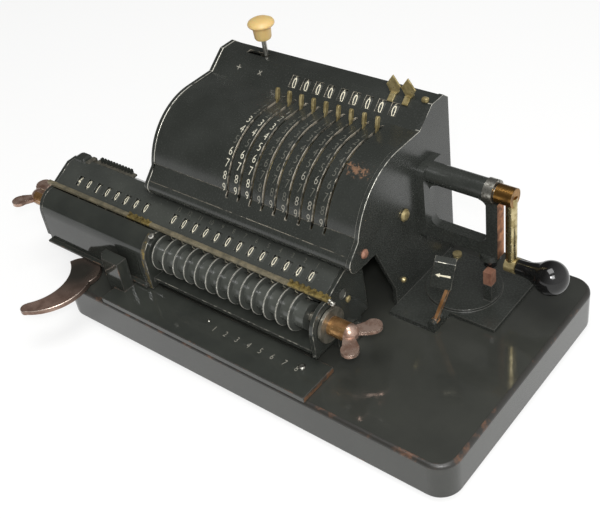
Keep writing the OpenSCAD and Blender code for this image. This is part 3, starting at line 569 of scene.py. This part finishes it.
brass = old_metal("dull_lever_brass", "#b5a67a", "#82744c", 4, 0.28, 0.45, 0.7)
screw_copper = old_metal("copper_screw", "#9c7460", "#7a5444", 3, 0.3, 0.45, 0.35)
front_screw_y = at(0, 75, 0).y
stop_block_x = at(140, 0, 0).x


def screw_finish(face):
    """The front screw of the plate and the stop block are copper, the other screws brass."""
    middle = face.calc_center_median()
    return 1 if middle.y < front_screw_y or middle.x > stop_block_x else 0


dress("frame_screws", [brass, screw_copper], pick=screw_finish)
screw_head = [(2.6, -0.4), (2.6, 0.4), (2.2, 0.9), (1.2, 1.3)]
screw_inset = 8 * mm
back_low, back_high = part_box("rear_cover")
for high, z in (("lower", back_low[2] + screw_inset), ("upper", back_high[2] - screw_inset)):
    for side, x in (("left", back_low[0] + screw_inset), ("right", back_high[0] - screw_inset)):
        turned(f"back_screw_{high}_{side}", screw_head, Vector((x, back_high[1], z)), (0, 1, 0),
               steel, "frame", "steel")
plate_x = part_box("left_side_plate")[0][0]
for name, y, z in (("front", 68.5, 92), ("lower", 103.3, 46), ("back", 150, 40)):
    turned("left_plate_screw_" + name, screw_head, Vector((plate_x, at(0, y, 0).y, z * mm)),
           (-1, 0, 0), brass, "frame", "brass")


# Rotor: nine turned steel discs on one shaft inside the setting rings, with a brass drive gear
# at the crank end. It runs in the side plates and hardly shows through the slots.
gear_x = at(100, 0, 0).x


def rotor_finish(face):
    """Brass for the gear, steel for the discs and the shaft."""
    return 1 if face.calc_center_median().x > gear_x else 0


dress("rotor", [steel, brass], pick=rotor_finish)


# Check dials: small drums in satin black with cream figures, one behind each window of the
# head. They run loose on a spindle and each is turned by its lever.
# The drums' black is painted lighter than the enamel elsewhere: painted light that makes up for the
# shade inside the windows.
dial_black_painted_lighter = even_finish("satin_black_drum_painted_lighter", "#454642", 0.4)
cream = even_finish("cream_figure_paint", "#e6dfc6", paint_rough)
dial = Vector(joint_of["dial_1"]["pos_m"])
dial_low, dial_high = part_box("check_dial_1")
dial_radius = (dial_high[2] - dial_low[2]) / 2
dial_forward = 12
dial_angle = 90 + head_slope + dial_forward
wheel_step = 36
for column in range(setting_count):
    coat(f"check_dial_{column + 1}", dial_black_painted_lighter)
    marks = [(str(value), 7.2 * mm, on_drum(dial.x + column * pitch + 0.3 * mm, dial, dial_radius,
                                            dial_angle + wheel_step * value)) for value in range(10)]
    print_figures(f"dial_figures_{column + 1}", marks, cream, f"dial_{column + 1}",
                  narrow=0.6, weight=-0.008)


# Setting levers: brass blades stamped in one with their rings, standing up through the slots.
# Fingers have rounded their edges and left them dull.
for column in range(setting_count):
    dress(f"setting_lever_{column + 1}", [brass], edge_mm=0.35)


# Function lever: a turned steel stem in a slot of the head, with an ivory-coloured knob screwed
# on. Aged celluloid: yellowed, half glossy, with a little light in its skin.
ivory, tree, shader = new_finish("aged_ivory_celluloid")
shader.inputs["Base Color"].default_value = linear("#c4a76d")
shader.inputs["Roughness"].default_value = 0.38
shader.inputs["Subsurface Weight"].default_value = 0.1
coat("function_lever", steel)
dress("function_knob", [ivory], crease=40)


# Point markers: diamonds of sheet brass folded over the front edge of the head, where they
# slide. A brass clip at the right end stops them.
def block(name, low, high, finish, body, finish_slot, edge_mm):
    """A block between two corners with broken edges."""
    points = [Vector((x, y, z)) for z in (low[2], high[2]) for y in (low[1], high[1])
              for x in (low[0], high[0])]
    faces = [(0, 2, 3, 1), (4, 5, 7, 6), (0, 1, 5, 4), (2, 6, 7, 3), (0, 4, 6, 2), (1, 3, 7, 5)]
    add_piece(name, points, faces, finish, body, finish_slot, edge_mm)


marker_brass = old_metal("marker_brass", "#c0b184", "#85764a", 5, 0.25, 0.4, 0.7)
for node in ("marker_left", "marker_right"):
    dress(node, [marker_brass], edge_mm=0.2)
block("head_clip", at(92.6, 144.2, 148.6), at(96.6, 147.4, 151.6), brass, "frame", "brass", 0.8)


# Crank: a cast bracket in black, its corner rubbed to copper and its collar to nickel; a steel
# shaft with a bronze hub and a brass arm pinned to it; a black ball handle that turns on its
# pin; a latch plunger below.
crank = Vector(joint_of["crank_turn"]["pos_m"])
bracket_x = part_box("crank_bracket")[1][0]
collar_x = bracket_x - 8.4 * mm
collar_reach = 7.6 * mm
hub_low = crank.z - 6.2 * mm
arm_low = crank.z - 43 * mm
copper_face = old_metal("bracket_rubbed_copper", "#b5794a", "#6e4526", 6, 0.35, 0.5)
collar_nickel = old_metal("collar_worn_nickel", "#b9b7ae", "#57554e", 3, 0.25, 0.5)
hub_bronze = old_metal("crank_hub_bronze", "#a67c42", "#6a4e2a", 7, 0.22, 0.4)
arm_brass = old_metal("crank_arm_brass", "#c8ba90", "#8f7f52", 6, 0.2, 0.38)
# Black handle polish over turned wood: smooth, with small sharp highlights.
polished = even_finish("polished_black_handle", "#0f0f0f", 0.12)


def bracket_finish(face):
    """Copper on the outer face of the upright, nickel on the collar, black elsewhere."""
    middle = face.calc_center_median()
    reach = math.hypot(middle.y - crank.y, middle.z - crank.z)
    if middle.x > bracket_x - 0.2 * mm:
        return 1
    return 2 if middle.x > collar_x and reach < collar_reach and middle.z > crank.z - 6 * mm else 0


def arm_finish(face):
    """Bronze hub, pale brass arm, dull brass boss and pin."""
    middle = face.calc_center_median()
    if middle.z > hub_low:
        return 0
    return 1 if middle.z > arm_low else 2


dress("crank_bracket", [satin, copper_face, collar_nickel], pick=bracket_finish)
coat("crank_shaft", steel)
dress("crank_arm", [hub_bronze, arm_brass, brass, hub_bronze], edge_mm=0.3, pick=arm_finish,
      clamp=True)
dress("crank_handle", [polished], edge_mm=0.3)
dress("crank_latch", [polished, collar_nickel], edge_mm=0.6)


# Arrow lever: a flat copper-coloured rod on a pin between two ears, with a black block for a
# grip riveted on. A cream arrow is painted on the front of the grip.
rod_lean = Matrix.Rotation(math.radians(18.5), 3, "Y")
grip_turn = Matrix.Rotation(math.radians(24), 3, "Z")
grip_tip = Matrix.Rotation(math.radians(-6.5), 3, "Y")
grip_across, grip_back, grip_along = (rod_lean @ grip_turn @ grip_tip).col
rod_along = rod_lean.col[2]
rod_long = 33 * mm
rod_copper = old_metal("bright_rod_copper", "#c39468", "#8d6238", 8, 0.3, 0.45, 0.5)


def arrow_finish(face):
    """Black above the rod, copper below."""
    along = (face.calc_center_median() - arrow_pivot).dot(rod_along)
    return 0 if along > rod_long - 1.2 * mm else 1


dress("arrow_lever", [satin, rod_copper, edge_bright], edge_mm=0.4, pick=arrow_finish)

grip_middle = arrow_pivot + rod_along * rod_long + grip_along * 11 * mm - grip_across * 4.3 * mm
grip_half = 2.5 * mm
arrow_thick = 0.08
arrow_shape = [(-4.4, 0), (-1.8, 1.8), (-1.8, 0.6), (4.4, 0.9), (4.4, -0.9), (-1.8, -0.6), (-1.8, -1.8)]
place = on_flat(grip_middle - grip_back * grip_half, grip_across, grip_along)
points = [place(u * mm, v * mm, w * mm) for w in (0.0, arrow_thick) for u, v in arrow_shape]
count = len(arrow_shape)
faces = [list(range(count)), list(range(2 * count - 1, count - 1, -1))]
faces += [[count + i, count + (i + 1) % count, (i + 1) % count, i] for i in range(count)]
add_piece("grip_arrow", points, faces, cream, "arrow_lever", "ivory")


# Shift lever: a curved copper-coloured bar filed to a taper, on a pin at the front left corner,
# dark near its pin and rubbed bright along the edges and at the tip.
lever_copper = old_metal("shift_lever_copper", "#957d71", "#6e584d", 12, 0.25, 0.4, 0.6)
bright_copper = old_metal("edge_rubbed_to_bright_copper", "#d8c8bc", "#a38f83", 4, 0.2, 0.35)
tree = lever_copper.node_tree
shader = tree.nodes["Principled BSDF"]
place = add_node(tree, "ShaderNodeTexCoord", {}, {}).outputs["Object"]
far = add_node(tree, "ShaderNodeVectorMath", {"operation": "DISTANCE"},
               {0: place, 1: joint_of["shift_lever_turn"]["pos_m"]})
rubbed = add_node(tree, "ShaderNodeMapRange", {},
                  {"Value": far.outputs["Value"], "From Min": 8 * mm, "From Max": 34 * mm})
clean = shader.inputs["Base Color"].links[0].from_socket
mixed = add_node(tree, "ShaderNodeMix", {"data_type": "RGBA"},
                 {0: rubbed.outputs[0], 6: linear("#3d3a35"), 7: clean})
tree.links.new(mixed.outputs[2], shader.inputs["Base Color"])
dress("shift_lever", [lever_copper, bright_copper], edge_mm=0.5, rounds=3)


# Carriage: end plates and floor, a sheet cover with a window for each figure, and a rolled
# cover in front of the counter, all black and screwed together; a dull brass rail lies along
# the top of the wheels.
rail_brass = old_metal("pointer_rail_brass", "#8a816a", "#656050", 5, 0.35, 0.5, 0.5)
divider_gold = rubbed_edge("divider_rubbed_to_brass", "#383730", "#97834e", 3, 0.5, 0.8)
register_black = stoved_enamel("register_cover_enamel", "#343633", "#3d3f3b", 30, 0.2)
divider_low = at(-50.5, 0, 0)
divider_high = at(-45.5, 36, 0)


def carriage_finish(face):
    """The divider's front strip is rubbed to brass."""
    middle = face.calc_center_median()
    return 1 if divider_low.x < middle.x < divider_high.x and middle.y < divider_high.y else 0


dress("carriage_frame", [black, divider_gold, edge_bright], edge_mm=0.4, pick=carriage_finish)
dress("register_cover", [register_black], edge_mm=0.2, rounds=1)
dress("counter_cover", [black, edge_brown], edge_mm=0.5)
dress("pointer_rail", [rail_brass], edge_mm=0.6)
turned("divider_screw", [(2.0, -1.5), (2.0, 0.5), (1.3, 1.1)], at(-45.5, 33.3, 73.6),
       (0.2, -0.6, 0.8), bright_steel, "carriage", "steel")
turned("end_cap", [(2.2, -0.3), (2.2, 0.5), (1.3, 1.0)], at(91, 59.5, 60.4), (1, 0, 0),
       brass, "carriage", "brass")

thumb = Vector(joint_of["thumb_1"]["pos_m"])
result_count = 13
cover_slope = 27.3
slope = math.radians(cover_slope)
order_back = 2.0 * mm
crest_y = at(0, 59, 0).y
order_y = crest_y - order_back
order_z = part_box("register_cover")[1][2] - order_back * math.tan(slope)
order_marks = [(str(result_count - i), 3.2 * mm,
                on_flat((thumb.x + i * pitch, order_y, order_z), (1, 0, 0),
                        (0, math.cos(slope), math.sin(slope))))
               for i in range(result_count)]
print_figures("order_figures", order_marks, wear_paints["faded"], "carriage", weight=-0.01)


# Register wheels: satin black drums with cream figures, side by side on two shafts, seen
# through the carriage windows. The result stands at nought, the counter at 40100000.
def register_figures(name, first_x, shown, body):
    """Figures round the wheels of a register; the shown ones lie in the windows at rest."""
    axis = joint_of[body + "_turn"]["pos_m"]
    figure_behind = 2
    window_angle = 90 + cover_slope - figure_behind
    radius = 10 * mm
    figure_left = 1.2 * mm
    marks = []
    for column, now in enumerate(shown):
        for value in range(10):
            spot = on_drum(first_x + column * pitch - figure_left, axis, radius,
                           window_angle + wheel_step * (value - now))
            marks.append((str(value), 6.0 * mm, spot))
    print_figures(name, marks, cream, body, narrow=0.6, weight=-0.01)


# The register drums take the same black, painted lighter to make up for the shade inside the carriage
# windows.
for node in ("result_digits", "counter_digits"):
    coat(node, dial_black_painted_lighter)
register_figures("result_figures", thumb.x, [0] * result_count, "result_digits")
register_figures("counter_figures", drum.x - 133 * mm, [4, 0, 1, 0, 0, 0, 0, 0], "counter_digits")


# Thumbwheels: blackened steel wheels on one shaft, turned in one piece with their hubs. Fingers have
# worn their knurled rims to bare metal, and the rims' pale, partly non-metal colour also paints in the
# highlight that the knurl catches.
# The wheels' black is painted lighter than the enamel elsewhere, standing in for the light the glossy
# hubs catch.
wheel_black = stoved_enamel("wheel_enamel_painted_lighter", "#3c3e3a", "#474945", 20, 0.16)
# Painted highlight: the pale non-metal share of the knurl's colour shows bright under any light; the
# bare metal share is real wear.
rim_wear_and_highlight = old_metal("worn_knurl_and_painted_highlight", "#d2d0c6", "#a4a298", 2, 0.35, 0.5, 0.4)


def grow(name, tree, values, body, finish_slot):
    """Runs a node tree on an empty mesh and keeps the result as a plain mesh on a body."""
    piece = bpy.data.objects.new(name, bpy.data.meshes.new(name))
    scene.collection.objects.link(piece)
    modifier = piece.modifiers.new(name, "NODES")
    modifier.node_group = tree
    for item in tree.interface.items_tree:
        if item.in_out == "INPUT" and item.name in values:
            modifier[item.identifier] = values[item.name]
    bpy.context.view_layer.update()
    evaluated = piece.evaluated_get(bpy.context.evaluated_depsgraph_get())
    result = bpy.data.meshes.new_from_object(evaluated)
    piece.modifiers.clear()
    piece.data = result
    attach(piece, body)


def new_tree(name, sockets):
    """A geometry tree with named inputs, its input node and its output node."""
    tree = bpy.data.node_groups.new(name, "GeometryNodeTree")
    tree.interface.new_socket(name="Geometry", in_out="OUTPUT", socket_type="NodeSocketGeometry")
    for label, kind in sockets.items():
        tree.interface.new_socket(name=label, in_out="INPUT", socket_type=kind)
    return tree, add_node(tree, "NodeGroupInput", {}, {}), add_node(tree, "NodeGroupOutput", {}, {})


knurl, given, result = new_tree("knurled_rim", {
    "Ridges": "NodeSocketInt", "Radius": "NodeSocketFloat", "Ridge": "NodeSocketVector",
    "Centre": "NodeSocketVector", "Finish": "NodeSocketMaterial"})
circle = add_node(knurl, "GeometryNodeMeshCircle", {},
                  {"Vertices": given.outputs["Ridges"], "Radius": given.outputs["Radius"]})
spot = add_node(knurl, "GeometryNodeInputPosition", {}, {})
aim = add_node(knurl, "FunctionNodeAlignEulerToVector", {"axis": "X"}, {"Vector": spot.outputs[0]})
ridge = add_node(knurl, "GeometryNodeMeshCube", {}, {"Size": given.outputs["Ridge"]})
row = add_node(knurl, "GeometryNodeInstanceOnPoints", {},
               {"Points": circle.outputs[0], "Instance": ridge.outputs[0],
                "Rotation": aim.outputs[0]})
real = add_node(knurl, "GeometryNodeRealizeInstances", {}, {0: row.outputs[0]})
stand = add_node(knurl, "GeometryNodeTransform", {},
                 {"Geometry": real.outputs[0], "Rotation": (0, math.radians(90), 0),
                  "Translation": given.outputs["Centre"]})
painted = add_node(knurl, "GeometryNodeSetMaterial", {},
                   {"Geometry": stand.outputs[0], "Material": given.outputs["Finish"]})
knurl.links.new(painted.outputs[0], result.inputs[0])

wheel_low, wheel_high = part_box("thumbwheel_1")
rim_radius = (wheel_high[2] - wheel_low[2]) / 2
rim_wide = 1.4 * mm
for column in range(result_count):
    node = f"thumbwheel_{column + 1}"
    dress(node, [wheel_black], edge_mm=0.15, rounds=1)
    rim_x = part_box(node)[0][0] + rim_wide / 2
    grow(f"knurl_{column + 1}", knurl,
         {"Ridges": 90, "Radius": rim_radius - 0.1 * mm,
          "Ridge": (0.6 * mm, 0.45 * mm, 0.6 * rim_wide),
          "Centre": (rim_x, thumb.y, thumb.z), "Finish": rim_wear_and_highlight},
         f"thumb_{column + 1}", "wheel_black")


# Rack and riders: a filed steel rack with black teeth and its stop along the back of the
# carriage, and two brass riders with upright tabs clipped on the pointer rail.
teeth, given, result = new_tree("tooth_row", {
    "Count": "NodeSocketInt", "First": "NodeSocketVector", "Step": "NodeSocketVector",
    "Tooth": "NodeSocketVector", "Finish": "NodeSocketMaterial"})
line = add_node(teeth, "GeometryNodeMeshLine", {},
                {"Count": given.outputs["Count"], "Start Location": given.outputs["First"],
                 "Offset": given.outputs["Step"]})
tooth = add_node(teeth, "GeometryNodeMeshCube", {}, {"Size": given.outputs["Tooth"]})
row = add_node(teeth, "GeometryNodeInstanceOnPoints", {},
               {"Points": line.outputs[0], "Instance": tooth.outputs[0]})
real = add_node(teeth, "GeometryNodeRealizeInstances", {}, {0: row.outputs[0]})
painted = add_node(teeth, "GeometryNodeSetMaterial", {},
                   {"Geometry": real.outputs[0], "Material": given.outputs["Finish"]})
teeth.links.new(painted.outputs[0], result.inputs[0])

rack_steel = old_metal("dirty_rack_steel", "#6a675c", "#3c3a34", 3, 0.4, 0.6, 0.5)
rider_brass = old_metal("rider_brass", "#97854f", "#54492c", 2.5, 0.3, 0.5, 0.6)
blocks = {
    "rack_bar": (at(-137, 66, 78.5), at(-98, 73.6, 80), rack_steel, "steel", 0.3),
    "rack_stop": (at(-152, 62, 78), at(-140.5, 72, 84.2), black, "black_enamel", 2.4),
    "rack_stop_plate": (at(-140.5, 63.5, 78.5), at(-136.5, 72, 82.6), rack_steel, "steel", 0.6),
    "left_rider": (at(-75, 39.4, 73.4), at(-54, 43.2, 75.4), rider_brass, "brass", 0.5),
    "right_rider": (at(63, 39.4, 73.4), at(93, 43.2, 75.6), rider_brass, "brass", 0.5)}
for name, (low, high, finish, finish_slot, edge_mm) in blocks.items():
    block(name, low, high, finish, "carriage", finish_slot, edge_mm)
rows = {
    "rack_teeth": (11, at(-132, 72.5, 79.6), 3.0, (1.6, 2.2, 7.0), black, "black_enamel"),
    "left_rider_tabs": (4, at(-72.5, 41.6, 75.4), 5.5, (1.6, 1.0, 4.2), rider_brass, "brass"),
    "right_rider_tabs": (7, at(65, 41.6, 75.6), 4.4, (1.8, 1.0, 4.6), rider_brass, "brass")}
for name, (count, first, step, tooth_size, finish, finish_slot) in rows.items():
    grow(name, teeth, {"Count": count, "First": first, "Step": Vector((step, 0, 0)) * mm,
                       "Tooth": Vector(tooth_size) * mm, "Finish": finish},
         "carriage", finish_slot)
turned("rail_stud", [(1.7, -1), (1.7, 1), (1.1, 1.2), (1.1, 1.8), (1.7, 2), (1.7, 3.2), (1.0, 4)],
       at(93, 41.2, 73.6), (1, -0.15, -0.25), bright_steel, "carriage", "steel")


# Wing nuts: cast nuts on the ends of the register shafts, nickel worn down to copper on the
# wings and the dome, bronze at the hub, with a steel disc against the carriage.
nut_copper = old_metal("worn_copper_alloy", "#c2a899", "#87695a", 8, 0.2, 0.36, 0.75)
disc_steel = old_metal("dirty_nut_disc", "#8a867a", "#5f5c52", 5, 0.3, 0.45, 0.7)
nut_bronze = old_metal("worn_nut_bronze", "#b08a5c", "#7d5a38", 4, 0.22, 0.4, 0.8)
nut_axis = Vector(joint_of["result_nut_turn"]["pos_m"])
carriage_low, carriage_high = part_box("carriage_frame")
disc_end = 2.5 * mm
hub_end = 14 * mm


def nut_finish(face):
    """Steel disc against the carriage, bronze hub behind the dome, copper dome and wings."""
    middle = face.calc_center_median()
    reach = math.hypot(middle.y - nut_axis.y, middle.z - nut_axis.z)
    out = max(middle.x - carriage_high[0], carriage_low[0] - middle.x)
    if out < disc_end:
        return 1
    return 2 if out < hub_end and 5 * mm < reach < 6.4 * mm else 0


for node in ("result_wing_nut", "counter_wing_nut"):
    dress(node, [nut_copper, disc_steel, nut_bronze, bright_copper], edge_mm=0.4, pick=nut_finish,
          clamp=True)
